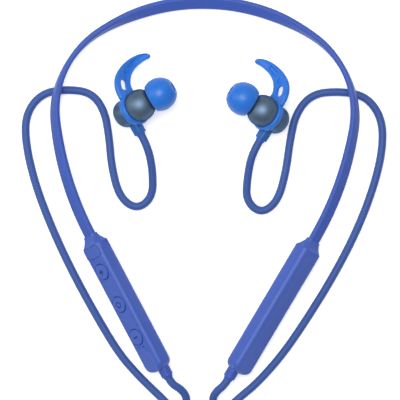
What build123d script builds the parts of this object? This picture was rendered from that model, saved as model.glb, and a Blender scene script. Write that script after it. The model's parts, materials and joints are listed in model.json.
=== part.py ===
from build123d import *
import math
import os

# Neckband earphones lying flat, in millimetres.
# +Y is the back of the neck, +X the wearer's right when worn face up, +Z up from the surface.
# The origin is the middle of the object's own box, on the surface it lies on.

# Neckband: a flat strip that follows three arcs on each side, from the back to the pod.
BACK_Y = 72.63
BAND_ARCS = [(77.9, 33.3), (38.2, 64.5), (126.3, 22.2)]
BAND_WIDTH = 5.5
BAND_THICK = 2.4
BAND_CORNER = 1.0
BAND_SPAN = 4.6
# How far the strip is rolled from standing on edge, and how high its middle is, along one side.
POD_ROLL = 46
BAND_ROLL = [(0, -57), (26, -44), (42, -15), (57, 1), (68, 9), (81, 26), (102, 41), (122, POD_ROLL)]
BAND_RISE = [(0, 2.12), (30, 3.4), (56, 5.6), (74, 6.3), (100, 5.9), (122, 5.36)]
BAND_IN_POD = 4.4

# The stand-in for the spring flex of each arm: a round knuckle that faces the arm's end over a gap.
FLEX_AT = 55.2
FLEX_GAP = 0.35

# Spring steel core and wires inside the strip.
CORE_THICK = 0.5
CORE_WIDTH = 3.4
CORE_OFFSET = 0.35
WIRE_RADIUS = 0.3
WIRE_OFFSET = -0.5
WIRE_SPREAD = 0.9
EMBED_GAP = 0.04

# Pods.
POD_AT = 135.5
POD_LENGTH = 61.0
POD_THICK = 7.4
POD_WIDTH = 10.4
POD_CORNER = 2.2
POD_END_ROUND = 3.8
SHOULDER = 4.3
COLLAR_THICK = 3.5
COLLAR_WIDTH = 6.6
COLLAR_CORNER = 1.4
POD_WALL = 1.2
POD_END_WALL = 2.6
CAVITY_CORNER = 0.3
LID_THICK = 1.5
PARTS_GAP = 0.05
BAND_FIT = 0.05

# Keys on the left pod's outer face.
KEY_PLACES = {"volume_up_key": 15.4, "call_key": 30.1, "volume_down_key": 44.8}
KEY_RADIUS = 3.2
KEY_GAP = 0.22
KEY_PROUD = 0.35
KEY_FLANGE_RADIUS = 3.8
KEY_FLANGE_THICK = 0.65
KEY_STEM_RADIUS = 1.0
KEY_TRAVEL = 0.35

# Charging port on the left pod's outer face.
PORT_AT = 6.8
COVER_LENGTH = 4.8
COVER_WIDTH = 8.4
COVER_THICK = 1.0
COVER_CORNER = 1.0
COVER_GAP = 0.15
SOCKET_WIDTH = 7.4
SOCKET_HEIGHT = 2.8
SOCKET_WALL = 0.3

# Boards and the battery.
BOARD_THICK = 0.8
BOARD_WIDTH = 7.2
BOARD_BASE = -2.05
MIC_AT = 49.4
MIC_HOLE_RADIUS = 0.45

# Cords and their reliefs.
CORD_RADIUS = 1.6
RELIEF_LENGTH = 4.4
RELIEF_PLUG = 2.4
RELIEF_COLLAR_LENGTH = 3.5
RELIEF_ROOT_RADIUS = 2.4
RELIEF_NECK_RADIUS = 2.0
RELIEF_TIP_RADIUS = 1.8
RELIEF_SHIFT = 1.2
FILLET_SHARE = 0.45

# Earbuds: housing axis, nozzle axis and place of the left ball's middle.
HOUSING_AZIMUTH = 30
HOUSING_RISE = 42
NOZZLE_TILT = 32
LEFT_BALL = (-26.0, 30.35, 11.0)
RIGHT_BALL_SHIFT = (-3.0, -1.0, 0)
BALL_RADIUS = 6.45
BALL_WALL = 0.9
WAIST = -1.9
REAR_RADIUS = 5.6
REAR_END = -12.0
REAR_EDGE = 3.0
REAR_WALL = 0.8
CAP_RADIUS = 2.4
CAP_THICK = 0.9
NOZZLE_RADIUS = 2.6
NOZZLE_BORE = 1.9
NOZZLE_END = 13.0
STEM_RADIUS = 2.1
STEM_AT = -6.95
STEM_END = 9.9
STEM_RELIEF_END = 10.7
STEM_RELIEF_RADIUS = 1.8
DRIVER_RADIUS = 4.3

# Silicone ear tip, along the nozzle from the ball's middle.
TIP_MIDDLE = 9.1
TIP_RADIUS = 6.7
TIP_NOSE = 7.1
TIP_MOUTH = 1.8
TIP_BORE = 2.68
TIP_CORE_RADIUS = 3.4
TIP_CORE_START = 6.15
TIP_SKIN = 0.7

# Silicone ear fin: a sleeve round the waist and a curved blade.
# Blade stations from the sleeve's middle: toward the fin, across, along the housing, width.
SLEEVE_INNER = 5.68
SLEEVE_OUTER = 7.0
SLEEVE_START = -2.05
SLEEVE_END = -4.7
FIN_THICK = 2.3
FIN_STATIONS = [
    (5.6, 0.3, 0.0, 8.8),
    (9.2, 0.0, 0.0, 8.4),
    (12.2, -1.5, 0.4, 7.5),
    (14.75, -4.45, 1.25, 5.8),
    (16.3, -7.9, 2.5, 4.6),
    (16.85, -11.2, 4.2, 3.8),
    (16.6, -13.6, 5.8, 2.9),
    (15.7, -15.3, 7.25, 1.6),
]
# The slot through the blade and its two pockets: station, length along the blade, width, lowest level.
FIN_SLOTS = [(1.4, 4.4, 3.0, -4.0), (2.6, 2.6, 1.7, 0.0), (3.95, 4.8, 1.5, 0.0)]

# Cord routes, from the pod's relief to the earbud's relief.
LEFT_CORD = [
    (-11.76, -78.28, 5.36),
    (-10.49, -80.55, 5.36),
    (-7.0, -82.5, 4.6),
    (-4.7, -85.2, 3.4),
    (-4.4, -88.2, 2.4),
    (-6.6, -90.9, 1.7),
    (-10.4, -90.9, 1.6),
    (-13.8, -87.2, 1.6),
    (-19.2, -82.4, 1.6),
    (-24.6, -77.3, 1.6),
    (-32.0, -69.3, 1.6),
    (-41.4, -54.6, 1.6),
    (-51.9, -36.5, 1.6),
    (-60.8, -18.5, 1.6),
    (-67.8, -1.2, 1.6),
    (-71.9, 15.2, 1.6),
    (-71.9, 26.2, 1.6),
    (-66.0, 34.4, 1.6),
    (-56.4, 36.4, 1.6),
    (-46.0, 35.5, 1.6),
    (-40.4, 28.4, 1.6),
    (-38.2, 17.3, 1.6),
    (-37.0, 6.0, 1.6),
    (-33.6, -6.2, 1.6),
    (-26.6, -11.2, 1.6),
    (-20.3, -6.3, 1.9),
    (-20.2, 3.3, 3.7),
    (-22.17, 13.39, 6.35),
    (-25.12, 18.50, 6.35),
]
RIGHT_CORD = [
    (11.76, -78.28, 5.36),
    (10.49, -80.55, 5.36),
    (7.6, -83.0, 4.6),
    (5.9, -85.9, 3.5),
    (6.6, -89.0, 2.4),
    (9.4, -90.5, 1.7),
    (13.0, -89.4, 1.6),
    (17.6, -84.9, 1.6),
    (23.4, -80.0, 1.6),
    (33.4, -68.3, 1.6),
    (43.2, -53.2, 1.6),
    (54.0, -34.6, 1.6),
    (62.6, -16.6, 1.6),
    (68.8, 1.0, 1.6),
    (71.9, 16.6, 1.6),
    (71.0, 28.4, 1.6),
    (64.6, 36.6, 1.6),
    (54.6, 38.4, 1.6),
    (43.0, 37.2, 1.6),
    (36.6, 29.4, 1.6),
    (34.4, 18.0, 1.6),
    (33.2, 6.0, 1.6),
    (30.2, -6.4, 1.6),
    (23.6, -11.6, 1.6),
    (17.4, -6.6, 1.9),
    (17.6, 2.6, 3.7),
    (19.17, 12.39, 6.35),
    (22.12, 17.50, 6.35),
]

MIRROR = Plane.YZ


def unit(azimuth, rise):
    """A direction from its turn about +Z from +X and its angle above the surface."""
    a, r = math.radians(azimuth), math.radians(rise)
    return Vector(math.cos(r) * math.cos(a), math.cos(r) * math.sin(a), math.sin(r))


def eased(table, at):
    """The value of a smooth curve through the table's pairs."""
    at = min(max(at, table[0][0]), table[-1][0])
    i = max(k for k in range(len(table) - 1) if table[k][0] <= at)

    def slope(k):
        low, high = max(k - 1, 0), min(k + 1, len(table) - 1)
        return (table[high][1] - table[low][1]) / (table[high][0] - table[low][0])

    (x0, y0), (x1, y1) = table[i], table[i + 1]
    h = x1 - x0
    t = (at - x0) / h
    rise = y0 * (2 * t**3 - 3 * t**2 + 1) + y1 * (3 * t**2 - 2 * t**3)
    return rise + h * (slope(i) * (t**3 - 2 * t**2 + t) + slope(i + 1) * (t**3 - t**2))


def band_plane(along):
    """The plane across the strip at a distance from the back's middle; minus is the left side.

    Its x is the outer face's normal, its y the strip's width, its z along the strip.
    """
    side = -1 if along < 0 else 1
    left = abs(along)
    x, y, heading = 0.0, BACK_Y, 0.0
    for radius, turn in BAND_ARCS:
        step = min(left, radius * math.radians(turn))
        end = heading + step / radius
        x += radius * (math.sin(end) - math.sin(heading))
        y += radius * (math.cos(end) - math.cos(heading))
        heading = end
        left -= step
    x += left * math.cos(heading)
    y -= left * math.sin(heading)
    out = Vector(side * math.sin(heading), math.cos(heading), 0)
    ahead = Vector(math.cos(heading), -side * math.sin(heading), 0)
    roll = math.radians(eased(BAND_ROLL, abs(along)))
    normal = out * math.cos(roll) + Vector(0, 0, 1) * math.sin(roll)
    rise = eased(BAND_RISE, abs(along))
    return Plane(origin=(side * x, y, rise), x_dir=normal, z_dir=ahead)


def along_band(section, places):
    """A solid with one section, in short straight-sided spans joined along the strip."""
    spans = [
        loft([band_plane(low) * section, band_plane(high) * section], ruled=True)
        for low, high in zip(places, places[1:])
    ]
    return spans[0].fuse(*spans[1:]) if len(spans) > 1 else spans[0]


def stations(start, end):
    """Even stations along the strip, about one span apart."""
    count = max(2, round((end - start) / BAND_SPAN) + 1)
    return [start + (end - start) * k / (count - 1) for k in range(count)]


def core_section(gap=0.0):
    """The steel core's section, or the space for it."""
    return Pos(CORE_OFFSET, 0) * Rectangle(CORE_THICK + 2 * gap, CORE_WIDTH + 2 * gap)


def wire_section(side, gap=0.0):
    """One wire's section, or the space for it."""
    return Pos(WIRE_OFFSET, side * WIRE_SPREAD) * Circle(WIRE_RADIUS + gap)


def filled_band(places, inner):
    """The strip's skin with its spaces cut, its core and its wires."""
    skin = along_band(RectangleRounded(BAND_THICK, BAND_WIDTH, BAND_CORNER), places)
    skin -= along_band(core_section(EMBED_GAP), inner)
    core = along_band(core_section(), inner)
    wires = []
    for side in (-1, 1):
        skin -= along_band(wire_section(side, EMBED_GAP), inner)
        wires.append(along_band(wire_section(side), inner))
    return skin, core, Compound(wires)


def flex_axis(side):
    """The upright axis of an arm's flex."""
    return Plane(origin=band_plane(side * FLEX_AT).origin)


def neckband_back():
    """The back of the neckband, with a round knuckle at each end."""
    places = stations(-FLEX_AT, FLEX_AT)
    skin, core, wires = filled_band(places, places[1:-1])
    for side in (-1, 1):
        knuckle = Cylinder(BAND_THICK / 2, BAND_WIDTH)
        knuckle = fillet(knuckle.edges().filter_by(GeomType.CIRCLE), BAND_CORNER)
        skin += flex_axis(side) * knuckle
    return {"band_skin_back": skin, "spring_core_back": core, "band_wires_back": wires}


def arm_band():
    """The right arm's strip, from its end at the flex to the inside of the pod's collar."""
    places = stations(FLEX_AT + BAND_THICK / 2 + FLEX_GAP, POD_AT + BAND_IN_POD)
    skin, core, wires = filled_band(places, places[1:])
    return {"band_skin": skin, "spring_core": core, "band_wires": wires}


def slab(section, start, end):
    """A section pushed along the pod, from one distance to another."""
    return Pos(0, 0, start) * extrude(section, end - start)


def pod_body():
    """The pod's outer form: collar, shoulder, straight body and rounded end."""
    full = RectangleRounded(POD_THICK, POD_WIDTH, POD_CORNER)
    collar = RectangleRounded(COLLAR_THICK, COLLAR_WIDTH, COLLAR_CORNER)
    half = POD_LENGTH / 2
    block = Pos(0, 0, half) * Box(POD_THICK, POD_WIDTH, POD_LENGTH)
    block = fillet(block.edges().filter_by(Axis.X).sort_by(Axis.Z)[-2:], POD_END_ROUND)
    faces = block.faces().sort_by(Axis.X)
    block = fillet(faces[0].edges() + faces[-1].edges(), POD_CORNER)
    straight = block & (Pos(0, 0, SHOULDER + half) * Box(20, 20, POD_LENGTH))
    return loft([collar, Pos(0, 0, SHOULDER) * full]) + straight


def relief_place():
    """Where the pod's cord relief stands, in the pod's frame: a little toward the wearer's chest."""
    roll = math.radians(POD_ROLL)
    return (-RELIEF_SHIFT * math.cos(roll), RELIEF_SHIFT * math.sin(roll), POD_LENGTH)


def pod_shells():
    """The pod's tray with its outer face, and the lid on its inner face."""
    cavity_thick = POD_THICK - POD_WALL - LID_THICK
    cavity_shift = (LID_THICK - POD_WALL) / 2
    cavity = slab(
        Pos(cavity_shift, 0) * RectangleRounded(cavity_thick, POD_WIDTH - 2 * POD_WALL, CAVITY_CORNER),
        SHOULDER + 0.9,
        POD_LENGTH - POD_END_WALL,
    )
    pocket = slab(
        RectangleRounded(BAND_THICK + 2 * BAND_FIT, BAND_WIDTH + 2 * BAND_FIT, BAND_CORNER),
        -1,
        BAND_IN_POD + BAND_FIT,
    )
    lid_edge = -POD_THICK / 2 + LID_THICK
    lid_box = Pos(lid_edge - 5, 0, POD_LENGTH / 2) * Box(10, 2 * POD_WIDTH, POD_LENGTH - 2 * SHOULDER)
    gap_box = Pos(lid_edge - 5, 0, POD_LENGTH / 2) * Box(
        10 + 2 * PARTS_GAP, 2 * POD_WIDTH, POD_LENGTH - 2 * SHOULDER + 2 * PARTS_GAP
    )
    body = pod_body()
    x, y, z = relief_place()
    relief_hole = Pos(x, y, z) * Cylinder(RELIEF_ROOT_RADIUS + PARTS_GAP, 2 * POD_END_WALL + 1)
    tray = body - cavity - pocket - gap_box - relief_hole
    lid = (body & lid_box) - cavity
    return tray, lid


def port_cover():
    """The charging port's flap, with its plug that fills the recess."""
    section = Pos(0, 0, PORT_AT) * Box(COVER_THICK, COVER_WIDTH, COVER_LENGTH)
    corners = section.edges().filter_by(Axis.X)
    return Pos(POD_THICK / 2 - COVER_THICK / 2, 0, 0) * fillet(corners, COVER_CORNER)


def port_recess():
    """The recess round the flap and the slot through to the socket."""
    recess = Pos(POD_THICK / 2, 0, PORT_AT) * Box(
        2 * COVER_THICK + 2 * COVER_GAP, COVER_WIDTH + 2 * COVER_GAP, COVER_LENGTH + 2 * COVER_GAP
    )
    recess = fillet(recess.edges().filter_by(Axis.X), COVER_CORNER)
    slot = Pos(POD_THICK / 2 - 2, 0, PORT_AT) * Box(4, SOCKET_WIDTH + 0.1, SOCKET_HEIGHT + 0.1)
    return recess + slot


def disc_on_face(radius, low, high, at):
    """A round piece standing on the pod's outer face, between two distances from the pod's middle."""
    return Pos((low + high) / 2, 0, at) * (Rot(0, 90, 0) * Cylinder(radius, high - low))


def key(at):
    """A key: a round cap, a flange under the wall and a stem that reaches its switch."""
    wall_inside = POD_THICK / 2 - POD_WALL
    flange_top = wall_inside - 0.1
    flange_low = flange_top - KEY_FLANGE_THICK
    top = POD_THICK / 2 + KEY_PROUD
    cap = disc_on_face(KEY_RADIUS, flange_top, top, at)
    cap = fillet(cap.edges().sort_by(Axis.X)[-1], 0.3)
    flange = disc_on_face(KEY_FLANGE_RADIUS, flange_low, flange_top, at)
    stem = disc_on_face(KEY_STEM_RADIUS, BOARD_BASE + BOARD_THICK + 1.5 + KEY_TRAVEL + 0.05, flange_low, at)
    return cap + flange + stem


def left_pod():
    """The control pod: shells, keys, port and electronics, in the pod's frame."""
    tray, lid = pod_shells()
    tray -= port_recess()
    tray -= disc_on_face(MIC_HOLE_RADIUS, 0, POD_THICK, MIC_AT)
    keys = {}
    for name, at in KEY_PLACES.items():
        tray -= disc_on_face(KEY_RADIUS + KEY_GAP, 0, POD_THICK, at)
        keys[name] = key(at)
    board_top = BOARD_BASE + BOARD_THICK
    board = Pos((BOARD_BASE + board_top) / 2, 0, 30.6) * Box(BOARD_THICK, BOARD_WIDTH, 50.4)
    switches = [
        Pos(board_top + 0.6, 0, at) * Box(1.2, 3.0, 3.0)
        + disc_on_face(0.9, board_top + 1.2, board_top + 1.5, at)
        for at in KEY_PLACES.values()
    ]
    chips = [
        Pos(board_top + 0.45, 0, 22.6) * Box(0.9, 5.0, 5.0),
        Pos(board_top + 0.4, -1.4, 37.4) * Box(0.8, 3.0, 2.4),
        Pos(board_top + 0.3, 2.0, 37.6) * Box(0.6, 1.6, 3.2),
    ]
    antenna = Pos(board_top + 0.6, 0, 53.6) * Box(1.2, 6.0, 2.0)
    mic_top = POD_THICK / 2 - POD_WALL - PARTS_GAP
    microphone = Pos((board_top + mic_top) / 2, 0, MIC_AT) * Box(mic_top - board_top, 3.4, 1.0)
    socket_top = POD_THICK / 2 - COVER_THICK - COVER_GAP - 0.1
    socket_low = board_top
    depth = socket_top - socket_low
    socket = Pos((socket_top + socket_low) / 2, 0, PORT_AT) * Box(depth, SOCKET_WIDTH, SOCKET_HEIGHT)
    mouth = Pos((socket_top + socket_low) / 2 + SOCKET_WALL, 0, PORT_AT) * Box(
        depth, SOCKET_WIDTH - 2 * SOCKET_WALL, SOCKET_HEIGHT - 2 * SOCKET_WALL
    )
    tongue = Pos((socket_top + socket_low) / 2 - 0.4, 0, PORT_AT) * Box(depth - 0.8, 4.6, 0.6)
    return {
        "left_pod_shell": tray,
        "left_pod_lid": lid,
        "main_board": board,
        "bluetooth_chips": Compound(chips),
        "antenna": antenna,
        "dome_switches": Compound(switches),
        "microphone": microphone,
        "charging_socket": socket - mouth + tongue,
        "port_cover": port_cover(),
        **keys,
    }


def right_pod():
    """The battery pod: shells, cell, protection board and foam pad, in the pod's frame."""
    tray, lid = pod_shells()
    cell = Pos(-0.1, 0, 28) * Box(3.9, 7.4, 38)
    cell = fillet(cell.edges().filter_by(Axis.Z), 1.2)
    board = Pos(0, 0, 50.6) * Box(0.8, 6.8, 6)
    foam = Pos(2.18, 0, 28) * Box(0.5, 6.4, 30)
    return {
        "right_pod_shell": tray,
        "right_pod_lid": lid,
        "battery_cell": cell,
        "protection_board": board,
        "battery_foam": foam,
    }


def pod_relief():
    """The soft relief that the cord leaves the pod through: plug, collar and tapered neck."""
    sleeve = turned(
        [
            (0, -RELIEF_PLUG),
            (RELIEF_ROOT_RADIUS, -RELIEF_PLUG),
            (RELIEF_ROOT_RADIUS, RELIEF_COLLAR_LENGTH),
            (RELIEF_NECK_RADIUS, RELIEF_COLLAR_LENGTH),
            (RELIEF_TIP_RADIUS, RELIEF_LENGTH),
            (0, RELIEF_LENGTH),
        ]
    )
    return Pos(*relief_place()) * sleeve


def cord(route, name):
    """A round cord along straight runs joined by arcs, with its radii and its volume printed."""
    points = [Vector(*p) for p in route]
    radii = []
    for before, here, after in zip(points, points[1:], points[2:]):
        turn = math.radians((here - before).get_angle(after - here))
        run = min((here - before).length, (after - here).length)
        radii.append(FILLET_SHARE * run / math.tan(turn / 2))
    path = FilletPolyline(*points, radius=radii)
    section = Plane(origin=path @ 0, z_dir=path % 0) * Circle(CORD_RADIUS)
    tube = sweep(section, path=path)
    expected = math.pi * CORD_RADIUS**2 * path.length
    print(name, "length %.1f" % path.length, "volume ratio %.4f" % (tube.volume / expected))
    print(name, "radii", ["%.1f" % r for r in radii])
    return tube


def turned(profile):
    """A closed outline of (radius, height) points turned into a round solid about +Z."""
    outline = Polyline([(r, 0, h) for r, h in profile], close=True)
    return revolve(make_face(outline), Axis.Z)


def nozzle_frame():
    """The nozzle's frame in the earbud's frame: +Z out of the nozzle."""
    tilt = math.radians(NOZZLE_TILT)
    return Plane(origin=(0, 0, 0), x_dir=(1, 0, 0), z_dir=(0, -math.sin(tilt), math.cos(tilt)))


def fin_planes():
    """Planes across the fin's blade, with their widths."""
    places = [Vector(a, b, c + (SLEEVE_START + SLEEVE_END) / 2) for a, b, c, _ in FIN_STATIONS]
    planes = []
    for k, place in enumerate(places):
        ahead = places[min(k + 1, len(places) - 1)] - places[max(k - 1, 0)]
        across = ahead.cross(Vector(0, 0, 1)).normalized()
        planes.append(Plane(origin=place, x_dir=across, z_dir=ahead.normalized()))
    return planes


def ear_fin():
    """The silicone fin: a sleeve round the housing and a curved, slotted blade."""
    height = SLEEVE_START - SLEEVE_END
    middle = (SLEEVE_START + SLEEVE_END) / 2
    planes = fin_planes()
    widths = [station[3] for station in FIN_STATIONS]
    corner = 0.75
    blade = loft(
        [plane * RectangleRounded(width, FIN_THICK * (0.6 + 0.4 * width / widths[0]),
                                  min(corner, width / 3.5))
         for plane, width in zip(planes, widths)]
    )
    for at, length, width, low in FIN_SLOTS:
        k = int(at)
        share = at - k
        place = planes[k].origin * (1 - share) + planes[k + 1].origin * share
        ahead = planes[k].z_dir * (1 - share) + planes[k + 1].z_dir * share
        side = planes[k].x_dir * (1 - share) + planes[k + 1].x_dir * share
        slot = Pos(0, -low / 2 - 2, 0) * Box(width, 4 - low, length)
        blade -= Plane(origin=place, x_dir=side, z_dir=ahead) * slot
    ring = Pos(0, 0, middle) * Cylinder(SLEEVE_OUTER, height)
    blade -= Pos(0, 0, middle) * Cylinder(SLEEVE_OUTER - 0.2, 12)
    ring -= Pos(0, 0, middle) * Cylinder(SLEEVE_INNER, 2 * height)
    return ring + blade


def tip_dome(skin):
    """The tip's dome, inset by a skin: points from the rim to the mouth."""
    places = []
    for turn in (-34, -20, 0, 15, 30, 45, 60):
        nose = TIP_NOSE if turn > 0 else TIP_RADIUS
        angle = math.radians(turn)
        radius = (TIP_RADIUS - skin) * math.cos(angle)
        places.append((radius, TIP_MIDDLE + (nose - skin) * math.sin(angle)))
    return places


def ear_tip():
    """The silicone tip: a round dome folded back round a core, in the nozzle's frame."""
    outer = tip_dome(0)
    end = outer[-1][1] + 0.2
    inner = [(r, h) for r, h in reversed(tip_dome(TIP_SKIN)[:-2])]
    mouth = [
        (TIP_MOUTH + 0.7, end),
        (TIP_MOUTH, end - 0.5),
        (TIP_MOUTH, NOZZLE_END + 0.3),
        (TIP_BORE, NOZZLE_END + 0.3),
        (TIP_BORE, TIP_CORE_START),
        (TIP_CORE_RADIUS, TIP_CORE_START),
        (TIP_CORE_RADIUS, inner[0][1] + 0.4),
    ]
    return turned(outer + mouth + inner)


def housing_half(above):
    """Everything on one side of the waist plane."""
    height = 40
    middle = WAIST + height / 2 if above else WAIST - height / 2
    return Pos(0, 0, middle) * Box(height, height, height)


def earbud():
    """The left earbud's pieces, in a frame with +Z out of the ball and +X toward the fin."""
    nozzle = nozzle_frame()
    tube_length = NOZZLE_END - 4.5
    tube = nozzle * (Pos(0, 0, 4.5 + tube_length / 2) * Cylinder(NOZZLE_RADIUS, tube_length))
    bore = nozzle * (Pos(0, 0, NOZZLE_END / 2 + 1.5) * Cylinder(NOZZLE_BORE, NOZZLE_END - 1.0))
    seat = nozzle * (Pos(0, 0, NOZZLE_END) * Cylinder(NOZZLE_BORE + 0.3, 1.4))
    hollow = Sphere(BALL_RADIUS - BALL_WALL)
    front = (Sphere(BALL_RADIUS) & housing_half(True)) + tube
    front = front - (hollow & housing_half(True)) - bore - seat
    front -= Pos(0, 0, WAIST) * Cylinder(DRIVER_RADIUS + 0.1, 2.4)
    mesh = nozzle * (Pos(0, 0, NOZZLE_END - 0.45) * Cylinder(NOZZLE_BORE + 0.25, 0.3))

    rear_height = WAIST - REAR_END - 0.05
    rear_middle = REAR_END + rear_height / 2
    rear = Pos(0, 0, rear_middle) * Cylinder(REAR_RADIUS, rear_height)
    rear = fillet(rear.edges().sort_by(Axis.Z)[0], REAR_EDGE)
    stem_length = STEM_END - REAR_RADIUS + 1.5
    stem_bar = Rot(0, 90, 0) * Cylinder(STEM_RADIUS, stem_length)
    stem = Pos(-STEM_END + stem_length / 2, 0, STEM_AT) * stem_bar
    rear += stem
    hollow_rear = Pos(0, 0, (REAR_END + REAR_WALL + WAIST) / 2 + 0.5) * Cylinder(
        REAR_RADIUS - REAR_WALL, WAIST - REAR_END - REAR_WALL + 1
    )
    rear -= fillet(hollow_rear.edges().sort_by(Axis.Z)[0], REAR_EDGE - REAR_WALL)
    rear -= Pos(-STEM_END / 2 - 2, 0, STEM_AT) * (Rot(0, 90, 0) * Cylinder(0.9, STEM_END))
    rear -= Pos(0, 0, REAR_END) * Cylinder(CAP_RADIUS + 0.05, 2 * (CAP_THICK - 0.5))
    cap = Pos(0, 0, REAR_END + CAP_THICK / 2 - 0.52) * Cylinder(CAP_RADIUS, CAP_THICK)
    cap = fillet(cap.edges().sort_by(Axis.Z)[0], 0.3)
    magnet = Pos(0, 0, REAR_END + REAR_WALL + 0.65) * Cylinder(2.5, 1.2)

    frame_ring = Pos(0, 0, WAIST + 0.1) * Cylinder(DRIVER_RADIUS, 1.9)
    frame_ring -= Pos(0, 0, WAIST + 0.5) * Cylinder(DRIVER_RADIUS - 0.4, 1.9)
    frame_ring -= Pos(0, 0, WAIST) * Cylinder(2.1, 6)
    coil_magnet = Pos(0, 0, WAIST - 0.5) * Cylinder(2.0, 1.9)
    cone = Pos(0, 0, WAIST + 0.85) * Cylinder(DRIVER_RADIUS - 0.5, 0.15)

    relief_length = STEM_RELIEF_END - STEM_END
    relief = Cylinder(STEM_RELIEF_RADIUS, relief_length)
    relief = Pos(-(STEM_END + STEM_RELIEF_END) / 2, 0, STEM_AT) * (Rot(0, 90, 0) * relief)
    return {
        "front_housing": front,
        "nozzle_mesh": mesh,
        "rear_housing": rear,
        "rear_cap": cap,
        "rear_magnet": magnet,
        "driver_frame": frame_ring,
        "driver_magnet": coil_magnet,
        "driver_diaphragm": cone,
        "stem_relief": relief,
        "ear_fin": ear_fin(),
        "ear_tip": nozzle * ear_tip(),
    }


def placed_earbud():
    """The left earbud's pieces where they lie, resting on the rear housing."""
    out = unit(HOUSING_AZIMUTH, HOUSING_RISE)
    fin_way = unit(HOUSING_AZIMUTH + 90, 0)
    place = Plane(origin=LEFT_BALL, x_dir=fin_way, z_dir=out)
    return {name: place * piece for name, piece in earbud().items()}


def all_pieces():
    """Every node of the earphones by name."""
    pieces = neckband_back()
    pod = band_plane(POD_AT)
    for name, piece in arm_band().items():
        pieces["right_" + name] = piece
        pieces["left_" + name] = mirror(piece, about=MIRROR)
    for name, piece in right_pod().items():
        pieces[name] = pod * piece
    for name, piece in left_pod().items():
        pieces[name] = mirror(pod * piece, about=MIRROR)
    pieces["right_pod_relief"] = pod * pod_relief()
    pieces["left_pod_relief"] = mirror(pod * pod_relief(), about=MIRROR)
    pieces["left_cord"] = cord(LEFT_CORD, "left_cord")
    pieces["right_cord"] = cord(RIGHT_CORD, "right_cord")
    for name, piece in placed_earbud().items():
        pieces["left_" + name] = piece
        pieces["right_" + name] = Pos(*RIGHT_BALL_SHIFT) * mirror(piece, about=MIRROR)
    return pieces


os.makedirs("parts", exist_ok=True)
for node, solid in all_pieces().items():
    export_step(solid, f"parts/{node}.step")
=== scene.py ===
"""Neckband earphones: the visible surfaces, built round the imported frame.

Sections and outlines are drawn in millimetres in a part's own frame, and a placing matrix
brings them into the shared frame in metres.
"""
import json
import logging
import math
from dataclasses import dataclass
from enum import Enum
from typing import Iterable, Sequence

import bmesh
import bpy
from mathutils import Matrix, Vector

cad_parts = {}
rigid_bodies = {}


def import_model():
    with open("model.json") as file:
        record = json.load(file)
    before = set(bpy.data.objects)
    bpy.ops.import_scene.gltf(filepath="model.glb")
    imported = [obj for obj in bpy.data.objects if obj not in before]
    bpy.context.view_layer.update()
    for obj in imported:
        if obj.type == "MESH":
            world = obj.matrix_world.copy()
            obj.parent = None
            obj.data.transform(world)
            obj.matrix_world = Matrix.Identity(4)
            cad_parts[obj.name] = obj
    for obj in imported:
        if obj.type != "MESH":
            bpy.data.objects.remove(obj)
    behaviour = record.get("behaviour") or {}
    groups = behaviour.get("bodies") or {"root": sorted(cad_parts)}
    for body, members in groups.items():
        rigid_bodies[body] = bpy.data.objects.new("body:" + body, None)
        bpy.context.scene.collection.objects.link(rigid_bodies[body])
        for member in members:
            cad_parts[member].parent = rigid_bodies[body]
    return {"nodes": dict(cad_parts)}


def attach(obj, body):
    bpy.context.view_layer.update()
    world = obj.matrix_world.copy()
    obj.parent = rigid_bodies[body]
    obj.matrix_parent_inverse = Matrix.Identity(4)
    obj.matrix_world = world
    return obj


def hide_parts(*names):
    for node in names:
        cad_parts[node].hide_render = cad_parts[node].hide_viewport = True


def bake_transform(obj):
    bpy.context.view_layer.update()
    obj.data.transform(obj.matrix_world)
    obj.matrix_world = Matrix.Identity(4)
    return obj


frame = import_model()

MM = 0.001
CORD_BORE = 1.62  # the inner radius of a relief round its cord, in millimetres
LOG = logging.getLogger("earphones")
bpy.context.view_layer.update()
Point = tuple[float, float, float]
Pair = tuple[float, float]


class Side(Enum):
    """The two arms, with the sign of their X."""

    LEFT = -1
    RIGHT = 1

    @property
    def label(self) -> str:
        """The side's name as the nodes write it."""
        return self.name.lower()

    @property
    def mirror(self) -> Matrix:
        """What takes the right-hand shape to this side."""
        return Matrix.Diagonal((self.value, 1, 1, 1))


class Symbol(Enum):
    """The plain signs moulded into the keys."""

    PLUS = "plus"
    RING = "ring"
    MINUS = "minus"


# ---------------------------------------------------------------- mesh work


def placing(origin: Vector, x_axis: Vector, z_axis: Vector) -> Matrix:
    """A matrix from a local frame in millimetres to the shared frame in metres.

    Args:
        origin: The local origin, in metres.
        x_axis: The local +X.
        z_axis: The local +Z.

    Returns:
        The placing matrix, scaled by a thousandth.
    """
    z = z_axis.normalized()
    y = z.cross(x_axis).normalized()
    x = y.cross(z)
    turn = Matrix((x, y, z)).transposed().to_4x4()
    return Matrix.Translation(origin) @ turn @ Matrix.Scale(MM, 4)


def make_object(name: str, points: Sequence[Vector],
                faces: Sequence[Sequence[int]], place: Matrix) -> bpy.types.Object:
    """A mesh object from local points, with its faces turned outwards.

    Args:
        name: The piece's name.
        points: Points in the local frame.
        faces: Faces as point numbers.
        place: The placing matrix.

    Returns:
        The new object, at the origin, with its place in its mesh.
    """
    mesh = bpy.data.meshes.new(name)
    mesh.from_pydata([place @ Vector(p) for p in points], [], faces)
    form = bmesh.new()
    form.from_mesh(mesh)
    bmesh.ops.remove_doubles(form, verts=form.verts, dist=1e-7)
    bmesh.ops.recalc_face_normals(form, faces=form.faces)
    form.to_mesh(mesh)
    form.free()
    piece = bpy.data.objects.new(name, mesh)
    bpy.context.scene.collection.objects.link(piece)
    return piece


def smooth(piece: bpy.types.Object, angle: float = 32.0) -> bpy.types.Object:
    """Shades a piece smoothly, except over edges sharper than the angle in degrees."""
    piece.data.shade_smooth()
    piece.data.set_sharp_from_angle(angle=math.radians(angle))
    return piece


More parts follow.
